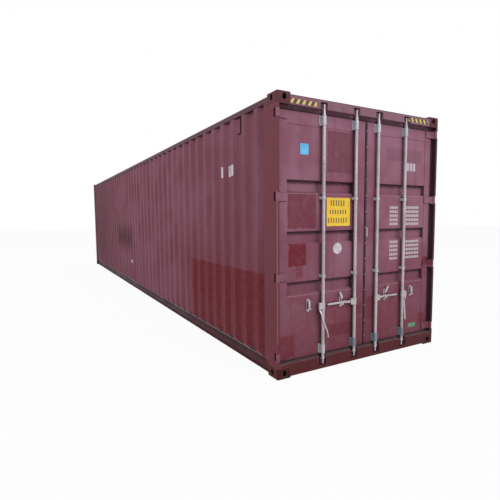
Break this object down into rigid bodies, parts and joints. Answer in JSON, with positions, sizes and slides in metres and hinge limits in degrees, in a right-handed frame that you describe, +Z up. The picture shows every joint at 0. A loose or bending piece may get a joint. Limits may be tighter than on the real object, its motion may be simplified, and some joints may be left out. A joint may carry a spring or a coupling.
{
  "type": "shipping container",
  "caption": "Long high-cube steel freight container with corrugated walls, hollow corner fittings and double rear doors with lock rods, cams, handles and hasps.",
  "frame": {"origin": "middle of the container's footprint, at the level of the bottom fittings' feet", "axes": "+X along the length towards the doors, +Y across towards the right door's side, +Z up"},
  "size_m": [12.192, 2.438, 2.896],
  "materials": {
    "shell_paint": "weathered matt",
    "frame_paint": "weathered matt with rust",
    "door_paint": "weathered matt with repainted patches",
    "cast_fittings": "painted casting, worn",
    "gear_steel": "galvanised, dull",
    "bracket_steel": "galvanised, dull",
    "pin_steel": "dull",
    "seal_rubber": "matt",
    "plywood": "sealed, scuffed",
    "vent_cover": "painted over"
  },
  "bodies": {
    "container": {"bottom_corner_fittings": "cast_fittings", "top_corner_fittings": "cast_fittings", "rear_corner_posts": "frame_paint", "front_corner_posts": "frame_paint", "bottom_side_rails": "frame_paint", "top_side_rails": "frame_paint", "door_header": "frame_paint", "door_stop": "frame_paint", "door_sill": "frame_paint", "front_top_rail": "frame_paint", "front_bottom_rail": "frame_paint", "left_side_wall": "shell_paint", "right_side_wall": "shell_paint", "front_wall": "shell_paint", "roof": "shell_paint", "plywood_floor": "plywood", "cross_members": "frame_paint", "gooseneck_tunnel": "frame_paint", "cam_keepers": "frame_paint", "hinge_lugs": "frame_paint", "hinge_pins": "pin_steel", "ventilators": "vent_cover"},
    "left_door": {"left_door_frame": "door_paint", "left_door_panel": "door_paint", "left_door_gasket": "seal_rubber", "left_hinge_blades": "door_paint", "left_rod_brackets": "bracket_steel", "left_handle_retainers": "gear_steel"},
    "left_outer_rod": {"left_outer_rod": "gear_steel"},
    "left_outer_handle": {"left_outer_handle": "gear_steel"},
    "left_outer_hasp": {"left_outer_hasp": "gear_steel"},
    "left_inner_rod": {"left_inner_rod": "gear_steel"},
    "left_inner_handle": {"left_inner_handle": "gear_steel"},
    "left_inner_hasp": {"left_inner_hasp": "gear_steel"},
    "right_door": {"right_door_frame": "door_paint", "right_door_panel": "door_paint", "right_door_gasket": "seal_rubber", "right_hinge_blades": "door_paint", "right_rod_brackets": "bracket_steel", "right_handle_retainers": "gear_steel"},
    "right_outer_rod": {"right_outer_rod": "gear_steel"},
    "right_outer_handle": {"right_outer_handle": "gear_steel"},
    "right_outer_hasp": {"right_outer_hasp": "gear_steel"},
    "right_inner_rod": {"right_inner_rod": "gear_steel"},
    "right_inner_handle": {"right_inner_handle": "gear_steel"},
    "right_inner_hasp": {"right_inner_hasp": "gear_steel"}
  },
  "joints": [
    {"name": "left_door_hinge", "type": "hinge", "parent": "container", "child": "left_door", "pos_m": [6.076, -1.198, 1.45], "axis": [0, 0, -1], "range_deg": [0, 265]},
    {"name": "left_outer_rod_turn", "type": "hinge", "parent": "left_door", "child": "left_outer_rod", "pos_m": [6.068, -0.608, 1.45], "axis": [0, 0, -1], "range_deg": [-45, 0]},
    {"name": "left_outer_handle_lift", "type": "hinge", "parent": "left_outer_rod", "child": "left_outer_handle", "pos_m": [6.068, -0.65, 0.706], "axis": [1, 0, 0], "range_deg": [-70, 0]},
    {"name": "left_outer_hasp_turn", "type": "hinge", "parent": "left_door", "child": "left_outer_hasp", "pos_m": [6.062, -0.788, 0.77], "axis": [-1, 0, 0], "range_deg": [0, 150]},
    {"name": "left_inner_rod_turn", "type": "hinge", "parent": "left_door", "child": "left_inner_rod", "pos_m": [6.068, -0.148, 1.45], "axis": [0, 0, -1], "range_deg": [-95, 0]},
    {"name": "left_inner_handle_lift", "type": "hinge", "parent": "left_inner_rod", "child": "left_inner_handle", "pos_m": [6.068, -0.19, 0.706], "axis": [1, 0, 0], "range_deg": [-12, 0]},
    {"name": "left_inner_hasp_turn", "type": "hinge", "parent": "left_door", "child": "left_inner_hasp", "pos_m": [6.062, -0.328, 0.77], "axis": [-1, 0, 0], "range_deg": [-150, 0]},
    {"name": "right_door_hinge", "type": "hinge", "parent": "container", "child": "right_door", "pos_m": [6.076, 1.198, 1.45], "axis": [0, 0, 1], "range_deg": [0, 265]},
    {"name": "right_outer_rod_turn", "type": "hinge", "parent": "right_door", "child": "right_outer_rod", "pos_m": [6.068, 0.656, 1.45], "axis": [0, 0, 1], "range_deg": [-95, 0]},
    {"name": "right_outer_handle_lift", "type": "hinge", "parent": "right_outer_rod", "child": "right_outer_handle", "pos_m": [6.068, 0.698, 0.706], "axis": [-1, 0, 0], "range_deg": [-60, 0]},
    {"name": "right_outer_hasp_turn", "type": "hinge", "parent": "right_door", "child": "right_outer_hasp", "pos_m": [6.062, 0.836, 0.77], "axis": [1, 0, 0], "range_deg": [0, 150]},
    {"name": "right_inner_rod_turn", "type": "hinge", "parent": "right_door", "child": "right_inner_rod", "pos_m": [6.068, 0.196, 1.45], "axis": [0, 0, 1], "range_deg": [-95, 0]},
    {"name": "right_inner_handle_lift", "type": "hinge", "parent": "right_inner_rod", "child": "right_inner_handle", "pos_m": [6.068, 0.238, 0.706], "axis": [-1, 0, 0], "range_deg": [-12, 0]},
    {"name": "right_inner_hasp_turn", "type": "hinge", "parent": "right_door", "child": "right_inner_hasp", "pos_m": [6.062, 0.376, 0.77], "axis": [1, 0, 0], "range_deg": [-150, 0]}
  ]
}
